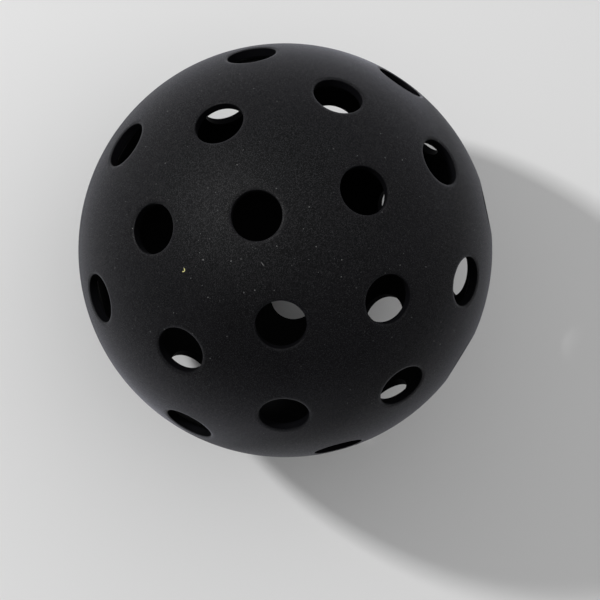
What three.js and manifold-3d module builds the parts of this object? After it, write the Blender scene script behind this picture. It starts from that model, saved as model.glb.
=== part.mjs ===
// A perforated court ball: two half shells from one mould, welded together round the middle.
// Millimetres, +Z up. The origin is the centre of the ball. Z is the axis on which both halves
// were moulded and welded, so the weld lies in the plane Z = 0.

import * as THREE from 'three';
import { mergeVertices } from 'three/addons/utils/BufferGeometryUtils.js';
import Module from 'manifold-3d';

const wasm = await Module();
wasm.setup();

// Shell
const ballDiameter = 74;
const wallThickness = 1.65;
const weldLineChamfer = 0.2; // on each rim's outer edge, so that the two leave a fine line

// Holes, drilled square to the ball, in three rings round each half's pole
const holeDiameter = 8.65;
const outerEdgeRadius = 0.3;
const poleRingAngle = 21.3; // degrees from the pole to the middle of the hole
const poleRingHoles = 4;
const middleRingAngle = 49;
const middleRingHoles = 8;
const weldRingAngle = 75.1;
const weldRingHoles = 8;

// Weld
const lowerHalfTurn = 69.5; // degrees that the lower half is turned by against the upper one
const beadRollRadius = 0.6; // the melt curls over in two rolls, one from each half
const beadRollSpacing = 1;
const beadRootDepth = 0.35; // how far each roll's middle stands in from the back of the bead
const beadClearance = 0.3;

// How finely the round forms are divided
const shellSides = 48;
const shellRows = 10;
const holeSides = 20;
const outerEdgeSteps = 2;
const beadRollSteps = 5;

const outerRadius = ballDiameter / 2;
const innerRadius = outerRadius - wallThickness;
const holeRadius = holeDiameter / 2;
const quarterTurn = Math.PI / 2;

const shellPlastic = new THREE.MeshStandardMaterial({
  name: 'shell_plastic',
  color: 0x202022,
  roughness: 0.62,
  metalness: 0,
});

const weldPlastic = new THREE.MeshStandardMaterial({
  name: 'weld_plastic',
  color: 0x1a1a1c,
  roughness: 0.4,
  metalness: 0,
});

// Points at even steps along an arc, its ends included. Angles are in radians.
function arc(centreX, centreY, radius, from, to, steps) {
  return Array.from({ length: steps + 1 }, (_, step) => {
    const angle = THREE.MathUtils.lerp(from, to, step / steps);
    return new THREE.Vector2(
      centreX + radius * Math.cos(angle),
      centreY + radius * Math.sin(angle),
    );
  });
}

// Turns a profile of (distance from Z, height) points round Z into a closed solid.
function turned(profile, sides) {
  const lathe = new THREE.LatheGeometry(profile, sides);
  lathe.rotateX(quarterTurn);
  return solidFrom(lathe);
}

// The geometry as a solid for cutting, with its shared vertices merged and the triangles that
// merging leaves without an area, such as those at a pole, left out.
function solidFrom(geometry) {
  const bare = new THREE.BufferGeometry();
  bare.setAttribute('position', geometry.getAttribute('position'));
  bare.setIndex(geometry.getIndex());
  const merged = mergeVertices(bare);
  const corners = merged.getIndex().array;
  const kept = [];
  for (let i = 0; i < corners.length; i += 3) {
    const [a, b, c] = corners.slice(i, i + 3);
    if (a !== b && b !== c && c !== a) kept.push(a, b, c);
  }
  const vertProperties = new Float32Array(merged.getAttribute('position').array);
  return new wasm.Manifold(
    new wasm.Mesh({ numProp: 3, vertProperties, triVerts: new Uint32Array(kept) }),
  );
}

function geometryFrom(solid) {
  const mesh = solid.getMesh();
  const geometry = new THREE.BufferGeometry();
  geometry.setAttribute('position', new THREE.BufferAttribute(mesh.vertProperties, 3));
  geometry.setIndex(new THREE.BufferAttribute(mesh.triVerts, 1));
  geometry.computeVertexNormals();
  return geometry;
}

// One half of the ball before it is drilled: the outside from the pole down to the chamfered
// rim, the flat rim that is welded, and the inside back up to the pole.
function bareHalf() {
  const chamferAngle = Math.asin(weldLineChamfer / outerRadius);
  const outside = arc(0, 0, outerRadius, quarterTurn, chamferAngle, shellRows);
  const rimEdge = new THREE.Vector2(outerRadius - weldLineChamfer, 0);
  const inside = arc(0, 0, innerRadius, 0, quarterTurn, shellRows);
  outside[0].x = 0;
  inside[shellRows].x = 0;
  return turned([...outside, rimEdge, ...inside].reverse(), shellSides);
}

// The drill for one hole, along +Z from the ball's centre. It widens at the ball's surface along
// an arc that is tangent to the bore and to the ball, which leaves the hole's edge rounded.
function holeDrill() {
  const outerEdgeX = holeRadius + outerEdgeRadius;
  const outerEdgeReach = outerRadius - outerEdgeRadius;
  const outerEdgeY = Math.sqrt(outerEdgeReach ** 2 - outerEdgeX ** 2);
  const outerEdge = arc(
    outerEdgeX,
    outerEdgeY,
    outerEdgeRadius,
    Math.PI,
    Math.atan2(outerEdgeY, outerEdgeX),
    outerEdgeSteps,
  );
  const innerMouthY = Math.sqrt(innerRadius ** 2 - holeRadius ** 2);
  const start = innerMouthY - wallThickness;
  const end = outerRadius + wallThickness;
  const profile = [
    new THREE.Vector2(0, start),
    new THREE.Vector2(holeRadius, start),
    ...outerEdge,
    new THREE.Vector2(outerEdge[outerEdgeSteps].x, end),
    new THREE.Vector2(0, end),
  ];
  return turned(profile, holeSides);
}

// A ring of drills round Z, each tipped away from the pole by the ring's angle. A turn of half a
// pitch puts a ring's holes between those of its neighbours.
function ringOfDrills(drill, ringAngle, holes, pitchesTurned) {
  return Array.from({ length: holes }, (_, hole) => {
    const placed = new THREE.Matrix4()
      .makeRotationZ((2 * Math.PI * (hole + pitchesTurned)) / holes)
      .multiply(new THREE.Matrix4().makeRotationY(THREE.MathUtils.degToRad(ringAngle)));
    return drill.transform(placed.elements);
  });
}

function drilledHalf() {
  const drill = holeDrill();
  const drills = [
    ...ringOfDrills(drill, poleRingAngle, poleRingHoles, 0),
    ...ringOfDrills(drill, middleRingAngle, middleRingHoles, 0.5),
    ...ringOfDrills(drill, weldRingAngle, weldRingHoles, 0),
  ];
  return drills.reduce((half, cut) => half.subtract(cut), bareHalf());
}

// The melt that the weld squeezed out inside the ball: a ring whose back follows the wall, and
// whose front is two rolls side by side with a crease between them.
function weldBead() {
  const wallX = innerRadius - beadClearance;
  const rollX = wallX - beadRootDepth;
  const rollY = beadRollSpacing / 2;
  const fromWall = Math.acos(beadRootDepth / beadRollRadius);
  const toCrease = Math.PI + Math.asin(rollY / beadRollRadius);
  const upperRoll = arc(rollX, rollY, beadRollRadius, fromWall, toCrease, beadRollSteps);
  const lowerRoll = upperRoll
    .slice(0, -1)
    .reverse()
    .map((point) => new THREE.Vector2(point.x, -point.y));
  const profile = [...upperRoll, ...lowerRoll, upperRoll[0].clone()];
  return turned(profile, shellSides);
}

function named(name, geometry, material) {
  const mesh = new THREE.Mesh(geometry, material);
  mesh.name = name;
  return mesh;
}

const halfGeometry = geometryFrom(drilledHalf());
const upperHalf = named('upper_half_shell', halfGeometry, shellPlastic);
const lowerHalf = named('lower_half_shell', halfGeometry, shellPlastic);
const bead = named('weld_bead', geometryFrom(weldBead()), weldPlastic);

// The lower half is the same moulding turned over, and turned on its axis as it was welded on.
const weldedOn = new THREE.Group();
lowerHalf.rotation.x = Math.PI;
weldedOn.rotation.z = THREE.MathUtils.degToRad(lowerHalfTurn);
weldedOn.add(lowerHalf);

const group = new THREE.Group();
group.name = 'court_ball';
group.add(upperHalf, weldedOn, bead);

export default group;
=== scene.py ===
"""A perforated court ball: two drilled half shells and the weld bead that joins them inside.

Metres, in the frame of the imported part. The origin is the centre of the ball. Z is the axis on
which both halves were moulded and welded, and the rings of holes run round it. The weld lies in
the plane Z = 0.
"""

import math

import bmesh
import bpy
import numpy as np
from mathutils import Matrix, Vector


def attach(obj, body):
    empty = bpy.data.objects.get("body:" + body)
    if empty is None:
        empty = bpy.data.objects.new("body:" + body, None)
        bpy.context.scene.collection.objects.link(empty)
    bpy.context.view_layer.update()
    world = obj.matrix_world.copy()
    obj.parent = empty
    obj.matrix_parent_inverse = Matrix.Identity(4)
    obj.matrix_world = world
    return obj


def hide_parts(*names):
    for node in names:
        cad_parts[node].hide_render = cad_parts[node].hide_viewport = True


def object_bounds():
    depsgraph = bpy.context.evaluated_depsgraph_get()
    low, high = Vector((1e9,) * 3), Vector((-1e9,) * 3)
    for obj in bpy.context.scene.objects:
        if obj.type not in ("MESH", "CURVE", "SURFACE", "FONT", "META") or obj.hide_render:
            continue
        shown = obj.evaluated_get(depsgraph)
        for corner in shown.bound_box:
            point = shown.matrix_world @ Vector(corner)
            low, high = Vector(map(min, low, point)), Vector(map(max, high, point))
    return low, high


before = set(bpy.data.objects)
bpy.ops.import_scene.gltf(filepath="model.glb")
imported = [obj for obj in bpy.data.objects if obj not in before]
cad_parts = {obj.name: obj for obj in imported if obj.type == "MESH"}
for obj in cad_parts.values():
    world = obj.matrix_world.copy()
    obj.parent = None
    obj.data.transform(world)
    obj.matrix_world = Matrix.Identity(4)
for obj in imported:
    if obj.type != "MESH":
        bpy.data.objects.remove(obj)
cad_low, cad_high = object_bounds()

MM = 0.001

# Shell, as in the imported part, with a round edge on each rim where the part has a chamfer
BALL_RADIUS = min(cad_high)
WALL = 1.65 * MM
INNER_RADIUS = BALL_RADIUS - WALL
RIM_EDGE_RADIUS = 0.2 * MM

# Holes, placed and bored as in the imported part. Ring angles are in degrees, from the pole to the
# middle of the hole.
HOLE_RADIUS = 8.65 / 2 * MM
POLE_RING_ANGLE = 21.3
POLE_RING_HOLES = 4
MIDDLE_RING_ANGLE = 49
MIDDLE_RING_HOLES = 8
WELD_RING_ANGLE = 75.1
WELD_RING_HOLES = 8

# Edges of the holes. The outer one is a wide shallow roll, which slopes into the hole by its lean
# where a tight roll takes over. The part has a single arc there. The edge depth is a little more
# than the two rolls reach below the ball's surface.
WIDE_ROLL_RADIUS = 1.5 * MM
WIDE_ROLL_LEAN = math.radians(19)
TIGHT_ROLL_RADIUS = 0.1 * MM
INNER_EDGE_RADIUS = 0.08 * MM
EDGE_DEPTH = 0.3 * MM

# Weld. The turn is in degrees. The bead laps into the wall, where the part leaves a clearance.
# Its waves are counted round the ring, and its swells and shift are shares of a roll's size.
LOWER_HALF_TURN = 69.5
BEAD_ROLL_RADIUS = 0.6 * MM
BEAD_ROLL_RISE = 0.46 * MM
BEAD_ROOT_DEPTH = 0.5 * MM
BEAD_OVERLAP = 0.04 * MM
BEAD_SLOW_WAVES = (2, 12)
BEAD_SLOW_SWELL = 0.03
BEAD_FINE_WAVES = (30, 90)
BEAD_FINE_SWELL = 0.012
BEAD_SHIFT = 0.04
UPPER_ROLL_SEED = 11
LOWER_ROLL_SEED = 23

# How finely the pieces are divided. A support row stands close beside each edge, so that the
# smooth shading doesn't spread from the edge over the flat surface next to it.
BORDER_STEP = 0.66 * MM
OUTSIDE_ROWS = 12
WIDE_ROLL_ROWS = 5
TIGHT_ROLL_ROWS = 3
BORE_ROWS = 4
INNER_EDGE_ROWS = 3
INSIDE_ROWS = 9
SUPPORT_WIDTH = 0.06 * MM
RIM_EDGE_ROWS = 5
BEAD_SIDES = 480
BEAD_ROLL_ROWS = 15
STRETCHED_LATITUDE = math.radians(6)

# How near two points or directions are that count as one, to how many decimals two angles
# agree that do, and what counts as no length at all
SAME_POINT = 2e-6
ANGLE_DECIMALS = 7
TINY = 1e-9

# Where wear starts to fade and where it ends, from a hole's bore and from the weld line
RUBBED_REACH = (0.2 * MM, 0.45 * MM)
TRIMMED_REACH = (RIM_EDGE_RADIUS, 5 * RIM_EDGE_RADIUS)

# Relief of the shells. Scales are features per metre. The drift moves the fine patterns aside by
# a slow noise.
GRAIN_SIZE = 0.14 * MM
GRAIN_DEPTH = 0.022 * MM
GRAIN_DETAIL = 3
GRAIN_BREAKUP = 0.75
DRIFT_SIZE = 2.5 * MM
DRIFT_REACH = 1.2 * MM
NOISE_MIDDLE = 0.5
DRILL_RING_PITCH = 0.18 * MM
FLOW_SCALE = 420
TRIM_SCALE = 2400

# Colour of the shells, as shares of white for greys with a cast of blue. A span is the part of a
# noise's values that is stretched over the whole change. The grain weighs from the first of its
# weights to the second, and the cloud from 0 to 1.
BLUE_CAST = 1.2
CLOUD_SCALE = 90
CLOUD_DETAIL = 3
CLOUD_SPAN = (0.3, 0.7)
GRAIN_SPAN = (0.4, 0.6)
GRAIN_WEIGHT = (-1.0, 2.0)
DARK_SKIN = 0.0002
PALE_SKIN = 0.0036
RUBBED_SKIN = 0.005
RUBBED_SHARE = 0.5
# Painted glint: the grains that shine are painted a paler grey, besides being made glossier
PAINTED_GLINT_GREY = 0.008
INNER_SURFACE = 0.0025
DRILLED_SURFACE = 0.003

# Gloss of the shells. A polish is taken off the roughness. A glint fades out from the middle of
# its grain, and only grains whose random number is high enough have one.
SKIN_ROUGHNESS = (0.58, 0.66)
EDGE_POLISH = 0.1
HIDDEN_POLISH = 0.1
GLINT_POLISH = 0.1
GLINT_SCATTER = 0.8
GLINT_FADE = (0.25, 0.55)
GLINT_FROM = 0.1
SKIN_SHINE = (0.07, 0.42)
BORE_DULLING = 0.06
VELVET = (0.165, 0.198)
VELVET_ROUGHNESS = 0.4
VELVET_TINT = (0.86, 0.87, 1.0, 1)
PLASTIC_IOR = 1.5

# Dust: sparse specks, whose reach is a share of the spacing
DUST_SPACING = 1.2 * MM
DUST_SCATTER = 1.0
DUST_SHARE = 0.9
DUST_REACH = (0.02, 0.09)
DUST_STRENGTH = (0.05, 1.0)
DUST_COLOUR = (0.17, 0.17, 0.17, 1)

# A scratch, which runs to the right and down, and a fibre, which is half of a small ring
SCRATCH_PX = (262.5, 264)
SCRATCH_RUN = (0.6, 0.8)
SCRATCH_HALF_WIDTH = 0.06 * MM
SCRATCH_HALF_LENGTH = 0.36 * MM
SCRATCH_COLOUR = (0.09, 0.09, 0.09, 1)
FIBRE_PX = (183, 270)
FIBRE_RING = (0.22 * MM, 0.35 * MM)
FIBRE_SLANT = 0.5
FIBRE_COLOUR = (0.55, 0.52, 0.22, 1)

# Bead of melted plastic
MELT_CLOUD_SCALE = 160
MELT_LEVELS = (0.002, 0.004)
MELT_ROUGHNESS = (0.3, 0.42)
MELT_SHINE = 0.3
RIPPLE_SCALE = 900
RIPPLE_DEPTH = 0.03 * MM
RIPPLE_STRENGTH = 0.6

# View of the photograph, in its 600 x 600 pixels. Camera angles are in degrees, and the sensor is
# in millimetres.
FRAME_PX = 600
BALL_CENTRE_PX = (285.3, 250.2)
BALL_RADIUS_PX = 207
CAMERA_DISTANCE = 14.2 * BALL_RADIUS
CAMERA_ELEVATION = 79.23
CAMERA_AZIMUTH = 200.85
CAMERA_ROLL = 101.25
SENSOR_WIDTH = 36

# Studio. Angles are in degrees and the lamp's power is in watts.
FLOOR_SIZE = 6
FLOOR_COLOUR = (0.72, 0.72, 0.72, 1)
FLOOR_ROUGHNESS = 0.9
FLOOR_SHINE = 0.2
KEY_AZIMUTH = 183
KEY_ELEVATION = 38
KEY_DISTANCE = 0.9
KEY_SIZE = 0.06
KEY_POWER = 6.0
SKY_AZIMUTH = 105
SKY_ELEVATION = 50
SKY_STRENGTH = 1.05
BACKDROP_LEVEL = 0.8
WHITE = (1, 1, 1, 1)
CAMERA_REACH = 10 * FLOOR_SIZE

# Sockets of the Mix node, which calls its two inputs A and B for numbers and colours alike
MIX_SHARE = 0
MIX_NUMBERS = (2, 3)
MIX_NUMBER_RESULT = 0
MIX_COLOURS = (6, 7)
MIX_COLOUR_RESULT = 2


def unit(vectors):
    """The vectors, each divided by its length."""
    return vectors / np.linalg.norm(vectors, axis=-1, keepdims=True)


def arc(middle_x, middle_y, radius, angle):
    """Points at the given angles round a middle, as their distances from an axis and heights."""
    return middle_x + radius * np.cos(angle), middle_y + radius * np.sin(angle)


def round_z(distance, height, turn):
    """Points at the given distances from Z, heights and turns round Z, row by row."""
    return np.stack([distance * np.cos(turn), distance * np.sin(turn), height], -1).reshape(-1, 3)


def hole_axes():
    """The 20 hole axes of a half, as directions.

    A ring of holes is spread evenly round Z and tipped from the pole by the ring's angle. The
    middle ring is turned by half a pitch, which puts its holes between those of its neighbours.
    """
    rings = (
        (POLE_RING_ANGLE, POLE_RING_HOLES, 0),
        (MIDDLE_RING_ANGLE, MIDDLE_RING_HOLES, 0.5),
        (WELD_RING_ANGLE, WELD_RING_HOLES, 0),
    )
    axes = []
    for angle, holes, pitches_turned in rings:
        turn = 2 * np.pi * (np.arange(holes) + pitches_turned) / holes
        tip = np.full(holes, math.radians(angle))
        axes.append(round_z(np.sin(tip), np.cos(tip), turn))
    return np.concatenate(axes)


def cell_border(axis, axes):
    """The border of the part of a half that belongs to one hole, as directions round the hole.

    A direction p belongs to the hole if w.p >= 0 for every wall w: the planes half way to each
    other hole, and the weld plane. A corner is a crossing of two walls that lies behind none.
    Each side between two corners is divided evenly, so that the neighbour divides it alike.
    """
    others = axes[np.linalg.norm(axes - axis, axis=1) > TINY]
    walls = np.concatenate([unit(axis - others), [[0.0, 0.0, 1.0]]])
    crossings = np.cross(walls[:, None], walls[None]).reshape(-1, 3)
    crossings = unit(crossings[np.linalg.norm(crossings, axis=1) > TINY])
    crossings = np.concatenate([crossings, -crossings])
    corners = crossings[(crossings @ walls.T > -TINY).all(1)]
    across = unit(np.cross([0.0, 0.0, 1.0], axis))
    turn = np.arctan2(corners @ np.cross(axis, across), corners @ across)
    corners = corners[np.argsort(turn)]
    apart = np.linalg.norm(corners - np.roll(corners, 1, axis=0), axis=1) > SAME_POINT
    corners = corners[apart]
    sides = []
    for start, end in zip(corners, np.roll(corners, -1, axis=0)):
        angle = math.acos(min(1.0, float(start @ end)))
        steps = math.ceil(angle * BALL_RADIUS / BORDER_STEP)
        share = np.arange(steps)[:, None] / steps
        sides.append(unit((1 - share) * start + share * end))
    return np.concatenate(sides)


def hole_profile(border_angle):
    """The profile across the wall beside a hole, for each angle from its axis to the border.

    Gives the distances from the axis and the heights along it, a row for each step: over the
    outside from the border to the hole, round the wide roll and the tight one, down the bore,
    round the fine inner edge and back over the inside. Each arc is tangent to what it joins. The
    wide roll's middle lies its radius inside the ball's surface, and the tight roll's middle its
    radius outside the bore. The line through the two middles leans towards the axis by the wide
    roll's lean, and where it meets the rolls, the tight one takes over.
    """
    apart = WIDE_ROLL_RADIUS - TIGHT_ROLL_RADIUS
    tight_x = HOLE_RADIUS + TIGHT_ROLL_RADIUS
    wide_x = tight_x + apart * math.sin(WIDE_ROLL_LEAN)
    outer_reach = BALL_RADIUS - WIDE_ROLL_RADIUS
    wide_y = math.sqrt(outer_reach**2 - wide_x**2)
    tight_y = wide_y + apart * math.cos(WIDE_ROLL_LEAN)
    outer_angle = math.asin(wide_x / outer_reach)
    lip_x = HOLE_RADIUS + INNER_EDGE_RADIUS
    inner_reach = INNER_RADIUS + INNER_EDGE_RADIUS
    lip_y = math.sqrt(inner_reach**2 - lip_x**2)
    inner_angle = math.asin(lip_x / inner_reach)

    near_edge = 1 - SUPPORT_WIDTH / (BALL_RADIUS * (border_angle.min() - outer_angle))
    over = np.append(np.linspace(0, 1, OUTSIDE_ROWS)[:-1], near_edge)[:, None]
    outside = border_angle + (outer_angle - border_angle) * over
    meeting = np.pi / 2 + WIDE_ROLL_LEAN
    wide = np.linspace(np.pi / 2 - outer_angle, meeting, WIDE_ROLL_ROWS + 1)[:, None]
    tight = np.linspace(meeting, np.pi, TIGHT_ROLL_ROWS + 1)[1:, None]
    bore = np.linspace(tight_y - SUPPORT_WIDTH, lip_y + SUPPORT_WIDTH, BORE_ROWS)[:, None]
    lip = np.linspace(np.pi, 1.5 * np.pi - inner_angle, INNER_EDGE_ROWS + 1)[:, None]
    under = np.append(1 - near_edge, np.linspace(0, 1, INSIDE_ROWS)[1:])[:, None]
    inside = inner_angle + (border_angle - inner_angle) * under

    sections = (
        (BALL_RADIUS * np.sin(outside), BALL_RADIUS * np.cos(outside)),
        arc(wide_x, wide_y, WIDE_ROLL_RADIUS, wide),
        arc(tight_x, tight_y, TIGHT_ROLL_RADIUS, tight),
        (HOLE_RADIUS * np.ones_like(bore), bore),
        arc(lip_x, lip_y, INNER_EDGE_RADIUS, lip),
        (INNER_RADIUS * np.sin(inside), INNER_RADIUS * np.cos(inside)),
    )
    every = np.ones_like(border_angle)
    x = np.concatenate([distances * every for distances, _ in sections])
    y = np.concatenate([heights * every for _, heights in sections])
    return x, y


def lifted_off_weld(points):
    """The points, with those of the outside near the weld plane moved up over the rim's edge.

    A latitude under the stretched one is scaled, so that 0 becomes the latitude where the round
    edge starts, and the stretched one stays. Distances from the centre don't change.
    """
    radius = np.linalg.norm(points, axis=1)
    latitude = np.arcsin(np.clip(points[:, 2] / radius, -1, 1))
    turn = np.arctan2(points[:, 1], points[:, 0])
    start = math.asin(RIM_EDGE_RADIUS / BALL_RADIUS)
    lifted = start + latitude * (1 - start / STRETCHED_LATITUDE)
    moved = round_z(np.cos(lifted), np.sin(lifted), turn)
    low = (latitude < STRETCHED_LATITUDE) & (radius > BALL_RADIUS - EDGE_DEPTH / 2)
    return np.where(low[:, None], moved * radius[:, None], points)


def grid_faces(around, across):
    """Quads of a grid that closes on itself round a hole, with its vertices stored row by row."""
    column = np.arange(around)
    row = np.arange(across - 1)[:, None] * around
    after = (column + 1) % around
    corners = [row + column, row + after, row + around + after, row + around + column]
    return np.stack(corners, -1).reshape(-1, 4)


def hole_cell(axis, border):
    """One hole with the wall round it: the hole's profile carried round the axis to the border."""
    along = border @ axis
    away = border - along[:, None] * axis
    border_angle = np.arctan2(np.linalg.norm(away, axis=1), along)
    x, y = hole_profile(border_angle)
    points = x[..., None] * unit(away) + y[..., None] * axis
    return lifted_off_weld(points.reshape(-1, 3)), grid_faces(len(border), len(x))


def rim(borders):
    """The rim that is welded: a quarter round from the outside to the weld plane, then flat.

    The section is carried round Z through the border points in the weld plane. Neighbouring cells
    share such points, so equal turns count once. Turns are shifted before they are rounded, so
    that one just under 0 doesn't become a full turn.
    """
    ends = np.concatenate(borders)
    ends = ends[np.abs(ends[:, 2]) < TINY]
    turn = np.arctan2(ends[:, 1], ends[:, 0])
    turn = np.unique(np.round((turn + SAME_POINT) % (2 * np.pi), ANGLE_DECIMALS)) - SAME_POINT
    bend = np.linspace(0, np.pi / 2, RIM_EDGE_ROWS + 1)
    start = math.sqrt(BALL_RADIUS**2 - RIM_EDGE_RADIUS**2)
    radius = start - RIM_EDGE_RADIUS * (1 - np.cos(bend))
    height = RIM_EDGE_RADIUS * (1 - np.sin(bend))
    radius = np.append(radius, INNER_RADIUS)[:, None]
    height = np.append(height, 0)[:, None] * np.ones_like(turn)
    return round_z(radius, height, turn), grid_faces(len(turn), len(radius))[:, ::-1]


def half_shell():
    """Vertices and faces of a half: a cell for each hole, and the rim."""
    axes = hole_axes()
    borders = [cell_border(axis, axes) for axis in axes]
    parts = [hole_cell(axis, border) for axis, border in zip(axes, borders)]
    parts.append(rim(borders))
    counts = np.cumsum([0] + [len(points) for points, _ in parts])
    points = np.concatenate([points for points, _ in parts])
    faces = np.concatenate([faces + first for (_, faces), first in zip(parts, counts)])
    return points, faces


def mesh_piece(name, points, faces, material):
    """An object of the given mesh, its doubled vertices merged and its faces shaded smooth."""
    mesh = bpy.data.meshes.new(name)
    mesh.from_pydata(points.tolist(), [], faces.tolist())
    welded = bmesh.new()
    welded.from_mesh(mesh)
    bmesh.ops.remove_doubles(welded, verts=welded.verts, dist=SAME_POINT)
    welded.to_mesh(mesh)
    welded.free()
    mesh.shade_smooth()
    mesh.materials.append(material)
    piece = bpy.data.objects.new(name, mesh)
    bpy.context.scene.collection.objects.link(piece)
    return piece


def coordinates(mesh):
    """The vertices of a mesh as an array."""
    flat = np.zeros(len(mesh.vertices) * 3, np.float32)
    mesh.vertices.foreach_get("co", flat)
    return flat.reshape(-1, 3).astype(float)


def add_values(mesh, name, values):
    """Stores a number for each vertex under a name that materials can read."""
    stored = mesh.attributes.new(name, "FLOAT", "POINT")
    stored.data.foreach_set("value", values.astype(np.float32))


def rising(values, low, high):
    """0 up to low, 1 from high on, and a smooth step between them."""
    share = np.clip((values - low) / (high - low), 0, 1)
    return share * share * (3 - 2 * share)


def add_zones(mesh):
    """Marks the zones of a half that wear and finish tell apart.

    edge is 1 at the brink of a hole and fades over its wide roll. bore is 1 down the bore.
    inside is 1 on the inner surface. weld is 1 at the weld line and fades over the outside.
    """
    points = coordinates(mesh)
    axes = hole_axes()
    radius = np.linalg.norm(points, axis=1)
    along = points @ axes.T
    from_axis = np.sqrt(np.maximum(radius[:, None] ** 2 - along**2, 0))
    nearest = np.where(along > 0, from_axis, np.inf).min(1)
    depth = BALL_RADIUS - radius
    on_outside = 1 - rising(depth, EDGE_DEPTH, 2 * EDGE_DEPTH)
    fade_start, fade_end = RUBBED_REACH
    rubbed = 1 - rising(nearest, HOLE_RADIUS + fade_start, HOLE_RADIUS + fade_end)
    add_values(mesh, "edge", rubbed * on_outside)
    in_bore = 1 - rising(nearest, HOLE_RADIUS, HOLE_RADIUS + EDGE_DEPTH / 2)
    add_values(mesh, "bore", in_bore * rising(depth, 0, EDGE_DEPTH))
    add_values(mesh, "inside", rising(depth, WALL - 2 * INNER_EDGE_RADIUS, WALL))
    trimmed = 1 - rising(np.abs(points[:, 2]), *TRIMMED_REACH)
    add_values(mesh, "weld", trimmed * on_outside)


def ring_noise(turn, harmonics, seed):
    """A smooth random wave round a ring, about -1 to 1.

    It is the sum of sines of whole numbers of waves, each of a random height and phase.
    """
    draw = np.random.default_rng(seed)
    waves = np.arange(*harmonics)
    phase = draw.uniform(0, 2 * np.pi, len(waves))
    size = draw.normal(0, 1, len(waves)) / math.sqrt(len(waves))
    return (size * np.sin(turn[:, None] * waves + phase)).sum(1)


def bead_roll(turn, seed):
    """One roll of the bead, as distances from Z and heights, a row for each step of its arc.

    The section is an arc from the wall over the roll down to the weld plane. The roll swells and
    shifts along the ring by its own smooth random waves.
    """
    slow = ring_noise(turn, BEAD_SLOW_WAVES, seed)
    fine = ring_noise(turn, BEAD_FINE_WAVES, seed + 1)
    radius = BEAD_ROLL_RADIUS * (1 + BEAD_SLOW_SWELL * slow + BEAD_FINE_SWELL * fine)
    shift = BEAD_SHIFT * ring_noise(turn, BEAD_SLOW_WAVES, seed + 2)
    middle_y = BEAD_ROLL_RISE * (1 + shift)
    start = np.arccos(BEAD_ROOT_DEPTH / radius)
    end = np.pi + np.arcsin(middle_y / radius)
    angle = start + (end - start) * np.linspace(0, 1, BEAD_ROLL_ROWS)[:, None]
    middle_x = INNER_RADIUS + BEAD_OVERLAP - BEAD_ROOT_DEPTH
    return arc(middle_x, middle_y, radius, angle)


def weld_bead():
    """Vertices and faces of the bead, its section carried round Z.

    The section is the upper roll down to the crease, and then the lower roll, turned over, back
    to the wall. The crease lies half way between the ends of the rolls. The bead's back joins
    the last row to the first.
    """
    turn = np.linspace(0, 2 * np.pi, BEAD_SIDES, endpoint=False)
    upper_x, upper_z = bead_roll(turn, UPPER_ROLL_SEED)
    lower_x, lower_z = bead_roll(turn, LOWER_ROLL_SEED)
    crease_x = (upper_x[-1] + lower_x[-1]) / 2
    x = np.concatenate([upper_x[:-1], [crease_x], lower_x[-2::-1]])
    z = np.concatenate([upper_z[:-1], [0 * crease_x], -lower_z[-2::-1]])
    last = (len(x) - 1) * BEAD_SIDES
    around = np.arange(BEAD_SIDES)
    after = (around + 1) % BEAD_SIDES
    back = np.stack([last + around, last + after, after, around], 1)
    return round_z(x, z, turn), np.concatenate([grid_faces(BEAD_SIDES, len(x)), back])


def node(tree, kind, inputs=None, **settings):
    """A new shader node with its settings.

    Inputs go by name or number, and each is a value or another node's output.
    """
    made = tree.nodes.new("ShaderNode" + kind)
    for name, value in settings.items():
        setattr(made, name, value)
    for name, value in (inputs or {}).items():
        if isinstance(value, bpy.types.NodeSocket):
            tree.links.new(value, made.inputs[name])
        else:
            made.inputs[name].default_value = value
    return made


def new_material(name):
    """An empty material and its tree."""
    material = bpy.data.materials.new(name)
    material.use_nodes = True
    material.node_tree.nodes.clear()
    return material, material.node_tree


def add_surface(tree, inputs):
    """Gives a material its surface, a principled shader with the inputs."""
    shader = node(tree, "BsdfPrincipled", inputs)
    node(tree, "OutputMaterial", {"Surface": shader.outputs["BSDF"]})


def zone(tree, name):
    """The value of a zone that add_zones stored."""
    return node(tree, "Attribute", attribute_name=name).outputs["Fac"]


def noise(tree, place, scale, detail=2, roughness=0.5):
    """Noise with features about 1 / scale metres across."""
    inputs = {"Vector": place, "Scale": scale, "Detail": detail, "Roughness": roughness}
    return node(tree, "TexNoise", inputs).outputs["Fac"]


def cells(tree, place, size, scatter):
    """A pattern of cells: the distance from a cell's middle, and three random numbers of it."""
    inputs = {"Vector": place, "Scale": 1 / size, "Randomness": scatter}
    made = node(tree, "TexVoronoi", inputs)
    picks = node(tree, "SeparateColor", {"Color": made.outputs["Color"]})
    return made.outputs["Distance"], picks.outputs


def scaled(tree, value, low, high, to_low, to_high):
    """The value with low to high mapped to to_low to to_high, and held there."""
    made = node(
        tree,
        "MapRange",
        {"Value": value, "From Min": low, "From Max": high, "To Min": to_low, "To Max": to_high},
    )
    return made.outputs["Result"]


def maths(tree, operation, first, second=None):
    """The result of an operation on one value or two."""
    inputs = {0: first} if second is None else {0: first, 1: second}
    return node(tree, "Math", inputs, operation=operation).outputs["Value"]


def product(tree, result, *factors):
    """The product of two or more values."""
    for factor in factors:
        result = maths(tree, "MULTIPLY", result, factor)
    return result


def within(tree, value, low, high):
    """1 where the value is between the two bounds, else 0."""
    above = maths(tree, "GREATER_THAN", value, low)
    return product(tree, above, maths(tree, "LESS_THAN", value, high))


def vector_maths(tree, operation, first, second, result="Vector"):
    """The result of an operation on two vectors, which is a vector or, as Value, a number."""
    return node(tree, "VectorMath", {0: first, 1: second}, operation=operation).outputs[result]


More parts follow.
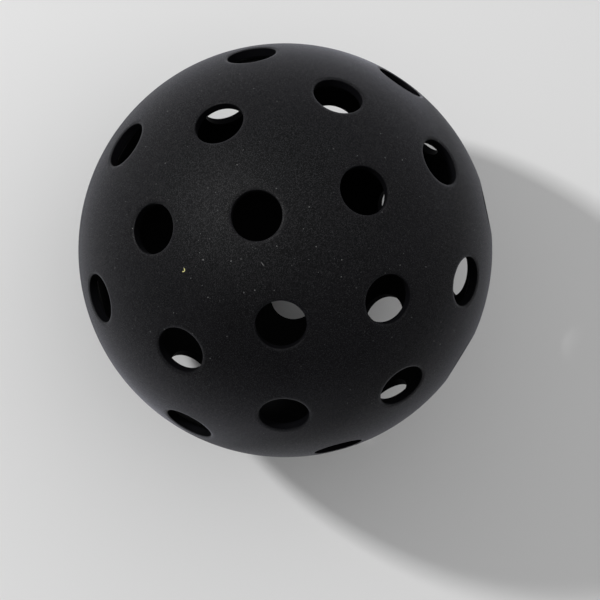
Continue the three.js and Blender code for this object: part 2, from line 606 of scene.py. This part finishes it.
def mixed(tree, share, first, second):
    """The first colour, going to the second as share goes from 0 to 1."""
    inputs = {MIX_SHARE: share, MIX_COLOURS[0]: first, MIX_COLOURS[1]: second}
    return node(tree, "Mix", inputs, data_type="RGBA").outputs[MIX_COLOUR_RESULT]


def grey(level):
    """A near neutral colour, a little bluer than grey."""
    return (level, level, level * BLUE_CAST, 1)


def drifted(tree, place):
    """The place, moved a little by a slow noise.

    This hides the even lattice under fine patterns.
    """
    inputs = {"Vector": place, "Scale": 1 / DRIFT_SIZE, "Detail": 2.0}
    slow = node(tree, "TexNoise", inputs).outputs["Color"]
    aside = vector_maths(tree, "SUBTRACT", slow, (NOISE_MIDDLE,) * 3)
    drift = node(tree, "VectorMath", {0: aside, "Scale": DRIFT_REACH}, operation="SCALE")
    return vector_maths(tree, "ADD", place, drift.outputs["Vector"])


def rings_in_bore(tree, place):
    """Fine rings that a drill leaves down a bore.

    They are a noise of the distance from the ball's centre alone.
    """
    reach = node(tree, "VectorMath", {0: place}, operation="LENGTH").outputs["Value"]
    along = node(tree, "CombineXYZ", {"X": reach}).outputs["Vector"]
    return noise(tree, along, 1 / DRILL_RING_PITCH)


def glints(tree, place):
    """0 on most grains of the skin, and up to 1 on the few that shine."""
    distance, picks = cells(tree, place, GRAIN_SIZE, GLINT_SCATTER)
    middle = scaled(tree, distance, *GLINT_FADE, 1.0, 0.0)
    return product(tree, scaled(tree, picks["Blue"], GLINT_FROM, 1.0, 0.0, 1.0), middle)


def dust(tree, place):
    """How strongly dust covers the skin: specks in the middles of some cells of a pattern."""
    distance, picks = cells(tree, place, DUST_SPACING, DUST_SCATTER)
    reach = scaled(tree, picks["Green"], 0.0, 1.0, *DUST_REACH)
    on_speck = maths(tree, "LESS_THAN", distance, reach)
    picked = maths(tree, "GREATER_THAN", picks["Red"], 1 - DUST_SHARE)
    strength = scaled(tree, picks["Blue"], 0.0, 1.0, *DUST_STRENGTH)
    return product(tree, on_speck, picked, strength)


def plane_at(tree, place, pixel):
    """Distances to the right and up from the point of the ball that a pixel shows.

    The ray through the pixel goes a focal length forwards for the pixel's distance aside and
    above. It meets the ball half a chord before the point where it is nearest to the centre.
    """
    right, up, towards = view_axes()
    aside = (pixel[0] - BALL_CENTRE_PX[0]) / focal_length_px()
    above = (BALL_CENTRE_PX[1] - pixel[1]) / focal_length_px()
    ray = (right * aside + up * above - towards).normalized()
    nearest = -CAMERA_DISTANCE * towards.dot(ray)
    reach = nearest - math.sqrt(nearest * nearest - CAMERA_DISTANCE**2 + BALL_RADIUS**2)
    point = towards * CAMERA_DISTANCE + ray * reach
    offset = vector_maths(tree, "SUBTRACT", place, point)
    return [vector_maths(tree, "DOT_PRODUCT", offset, axis, "Value") for axis in (right, up)]


def scratch(tree, place, outside):
    """1 on a short slanting scratch."""
    right, up = plane_at(tree, place, SCRATCH_PX)
    run_right, run_down = SCRATCH_RUN
    across = maths(tree, "ADD", product(tree, right, run_down), product(tree, up, run_right))
    along = maths(tree, "SUBTRACT", product(tree, right, run_right), product(tree, up, run_down))
    on_width = within(tree, across, -SCRATCH_HALF_WIDTH, SCRATCH_HALF_WIDTH)
    on_length = within(tree, along, -SCRATCH_HALF_LENGTH, SCRATCH_HALF_LENGTH)
    return product(tree, on_width, on_length, outside)


def fibre(tree, place, outside):
    """1 on a curved fibre that lies on the ball: the right half of a small ring."""
    right, up = plane_at(tree, place, FIBRE_PX)
    squares = maths(tree, "ADD", product(tree, right, right), product(tree, up, up))
    ring = within(tree, maths(tree, "SQRT", squares), *FIBRE_RING)
    past_middle = maths(tree, "SUBTRACT", right, product(tree, up, FIBRE_SLANT))
    half = maths(tree, "GREATER_THAN", past_middle, 0.0)
    return product(tree, ring, half, outside)


def shell_plastic():
    """Matte black moulded plastic, grainy and a little dusty outside, and smoother inside.

    The bores show the drill's rings, and the weld line the marks of trimming.
    """
    material, tree = new_material("ball_skin")
    place = node(tree, "TexCoord").outputs["Object"]
    edge, bore, inside, weld = (zone(tree, name) for name in ("edge", "bore", "inside", "weld"))
    hidden = maths(tree, "MAXIMUM", bore, inside)
    outside = maths(tree, "SUBTRACT", 1.0, hidden)
    cloud = scaled(tree, noise(tree, place, CLOUD_SCALE, CLOUD_DETAIL), *CLOUD_SPAN, 0.0, 1.0)
    skin_place = drifted(tree, place)
    grain = noise(tree, skin_place, 1 / GRAIN_SIZE, GRAIN_DETAIL, GRAIN_BREAKUP)
    glint = product(tree, glints(tree, skin_place), outside)

    moulded = product(tree, grain, outside)
    drilled = product(tree, rings_in_bore(tree, place), bore)
    flowed = product(tree, noise(tree, place, FLOW_SCALE), inside)
    trimmed = product(tree, noise(tree, place, TRIM_SCALE), weld)
    worked = maths(tree, "ADD", moulded, drilled)
    height = maths(tree, "ADD", worked, maths(tree, "ADD", flowed, trimmed))
    bump = node(tree, "Bump", {"Strength": 1.0, "Distance": GRAIN_DEPTH, "Height": height})

    level = maths(tree, "ADD", cloud, scaled(tree, grain, *GRAIN_SPAN, *GRAIN_WEIGHT))
    paleness = scaled(tree, level, GRAIN_WEIGHT[0], 1 + GRAIN_WEIGHT[1], 0.0, 1.0)
    plastic = mixed(tree, paleness, grey(DARK_SKIN), grey(PALE_SKIN))
    rubbed = mixed(tree, product(tree, edge, RUBBED_SHARE), plastic, grey(RUBBED_SKIN))
    # Painted glint: a paler colour on the grains that shine, on top of their real gloss
    painted_glint_colour = mixed(tree, glint, rubbed, grey(PAINTED_GLINT_GREY))
    inner = mixed(tree, inside, painted_glint_colour, grey(INNER_SURFACE))
    cut = mixed(tree, bore, inner, grey(DRILLED_SURFACE))
    dusty = mixed(tree, product(tree, dust(tree, skin_place), outside), cut, DUST_COLOUR)
    scratched = mixed(tree, scratch(tree, place, outside), dusty, SCRATCH_COLOUR)
    colour = mixed(tree, fibre(tree, place, outside), scratched, FIBRE_COLOUR)

    clouded = scaled(tree, cloud, 0.0, 1.0, *SKIN_ROUGHNESS)
    matt = maths(tree, "SUBTRACT", clouded, product(tree, edge, EDGE_POLISH))
    hidden_polish = product(tree, hidden, HIDDEN_POLISH)
    polish = maths(tree, "MAXIMUM", hidden_polish, product(tree, glint, GLINT_POLISH))
    roughness = maths(tree, "SUBTRACT", matt, polish)
    glossy = scaled(tree, glint, 0.0, 1.0, *SKIN_SHINE)
    shine = maths(tree, "SUBTRACT", glossy, product(tree, bore, BORE_DULLING))
    velvet = product(tree, scaled(tree, cloud, 0.0, 1.0, *VELVET), outside)
    add_surface(
        tree,
        {
            "Base Color": colour,
            "Roughness": roughness,
            "IOR": PLASTIC_IOR,
            "Specular IOR Level": shine,
            "Sheen Weight": velvet,
            "Sheen Roughness": VELVET_ROUGHNESS,
            "Sheen Tint": VELVET_TINT,
            "Normal": bump.outputs["Normal"],
        },
    )
    return material


def weld_plastic():
    """Plastic that melted and set in the open.

    It is smooth, shinier than the moulded skin, and has slow ripples.
    """
    material, tree = new_material("set_melt")
    place = node(tree, "TexCoord").outputs["Object"]
    ripples = noise(tree, place, RIPPLE_SCALE)
    bump = node(
        tree,
        "Bump",
        {"Strength": RIPPLE_STRENGTH, "Distance": RIPPLE_DEPTH, "Height": ripples},
    )
    cloud = noise(tree, place, MELT_CLOUD_SCALE)
    add_surface(
        tree,
        {
            "Base Color": mixed(tree, cloud, *map(grey, MELT_LEVELS)),
            "Roughness": scaled(tree, cloud, *CLOUD_SPAN, *MELT_ROUGHNESS),
            "IOR": PLASTIC_IOR,
            "Specular IOR Level": MELT_SHINE,
            "Normal": bump.outputs["Normal"],
        },
    )
    return material


def direction(azimuth, elevation):
    """The direction of a turn about Z from X and a rise over the floor, both in degrees."""
    turn, rise = math.radians(azimuth), math.radians(elevation)
    level = math.cos(rise)
    return Vector((level * math.cos(turn), level * math.sin(turn), math.sin(rise)))


def view_axes():
    """The photograph's camera axes: to the right, up, and from the ball to the camera."""
    towards = direction(CAMERA_AZIMUTH, CAMERA_ELEVATION)
    level_up = (Vector((0, 0, 1)) - towards * towards.z).normalized()
    up = Matrix.Rotation(math.radians(CAMERA_ROLL), 3, towards) @ level_up
    return up.cross(towards), up, towards


def focal_length_px():
    """The camera's focal length in pixels.

    A ball of radius 1 seen from d radii away shows as a disc of focal length / sqrt(d * d - 1).
    """
    radii = CAMERA_DISTANCE / BALL_RADIUS
    return BALL_RADIUS_PX * math.sqrt(radii * radii - 1)


def add_camera():
    """The camera that gives the ball the centre, size and turn that it has in the photograph.

    The shifts are shares of the frame, from its middle to the ball's centre.
    """
    right, up, towards = view_axes()
    data = bpy.data.cameras.new("camera")
    data.sensor_width = SENSOR_WIDTH
    data.lens = focal_length_px() * SENSOR_WIDTH / FRAME_PX
    data.shift_x = 0.5 - BALL_CENTRE_PX[0] / FRAME_PX
    data.shift_y = BALL_CENTRE_PX[1] / FRAME_PX - 0.5
    data.clip_start = BALL_RADIUS
    data.clip_end = CAMERA_REACH
    camera = bpy.data.objects.new("camera", data)
    bpy.context.scene.collection.objects.link(camera)
    turned = Matrix((right, up, towards)).transposed().to_4x4()
    camera.matrix_world = Matrix.Translation(towards * CAMERA_DISTANCE) @ turned
    bpy.context.scene.camera = camera


def add_key_lamp():
    """A square lamp that faces the ball and throws its shadow as in the photograph."""
    place = direction(KEY_AZIMUTH, KEY_ELEVATION)
    data = bpy.data.lights.new("key_lamp", "AREA")
    data.shape = "SQUARE"
    data.size = KEY_SIZE
    data.energy = KEY_POWER
    lamp = bpy.data.objects.new("key_lamp", data)
    bpy.context.scene.collection.objects.link(lamp)
    facing = place.to_track_quat("Z", "Y").to_matrix().to_4x4()
    lamp.matrix_world = Matrix.Translation(place * KEY_DISTANCE) @ facing


def add_floor():
    """A plain pale floor under the ball's lowest point."""
    corners = np.array([[-1, -1], [1, -1], [1, 1], [-1, 1]]) * FLOOR_SIZE / 2
    points = np.column_stack([corners, np.full(len(corners), -BALL_RADIUS)])
    material, tree = new_material("pale_floor")
    add_surface(
        tree,
        {
            "Base Color": FLOOR_COLOUR,
            "Roughness": FLOOR_ROUGHNESS,
            "Specular IOR Level": FLOOR_SHINE,
        },
    )
    mesh_piece("floor", points, np.array([[0, 1, 2, 3]]), material)


def add_world():
    """Soft light from a broad patch of sky, and a plain pale backdrop past the floor.

    The light from a direction is that of the patch's middle times the cosine of the angle between
    them, and nothing past a right angle.
    """
    world = bpy.data.worlds.new("soft_light")
    bpy.context.scene.world = world
    world.use_nodes = True
    tree = world.node_tree
    tree.nodes.clear()
    away = node(tree, "TexCoord").outputs["Generated"]
    middle = direction(SKY_AZIMUTH, SKY_ELEVATION)
    cosine = vector_maths(tree, "DOT_PRODUCT", away, middle, "Value")
    light = product(tree, maths(tree, "MAXIMUM", cosine, 0.0), SKY_STRENGTH)
    seen = node(tree, "LightPath").outputs["Is Camera Ray"]
    inputs = {MIX_SHARE: seen, MIX_NUMBERS[0]: light, MIX_NUMBERS[1]: BACKDROP_LEVEL}
    strength = node(tree, "Mix", inputs).outputs[MIX_NUMBER_RESULT]
    background = node(tree, "Background", {"Color": WHITE, "Strength": strength})
    node(tree, "OutputWorld", {"Surface": background.outputs["Background"]})


bpy.context.scene.view_settings.view_transform = "Standard"
add_camera()

skin = shell_plastic()
half_points, half_faces = half_shell()
upper_half = mesh_piece("upper_half", half_points, half_faces, skin)
add_zones(upper_half.data)
lower_half = bpy.data.objects.new("lower_half", upper_half.data.copy())
bpy.context.scene.collection.objects.link(lower_half)
turned_over = Matrix.Rotation(math.pi, 4, "X")
lower_half.data.transform(Matrix.Rotation(math.radians(LOWER_HALF_TURN), 4, "Z") @ turned_over)
bead = mesh_piece("bead", *weld_bead(), weld_plastic())

for piece, cad_node, slot in (
    (upper_half, "upper_half_shell", "shell_plastic"),
    (lower_half, "lower_half_shell", "shell_plastic"),
    (bead, "weld_bead", "weld_plastic"),
):
    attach(piece, "root")
    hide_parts(cad_node)

add_floor()
add_world()
add_key_lamp()
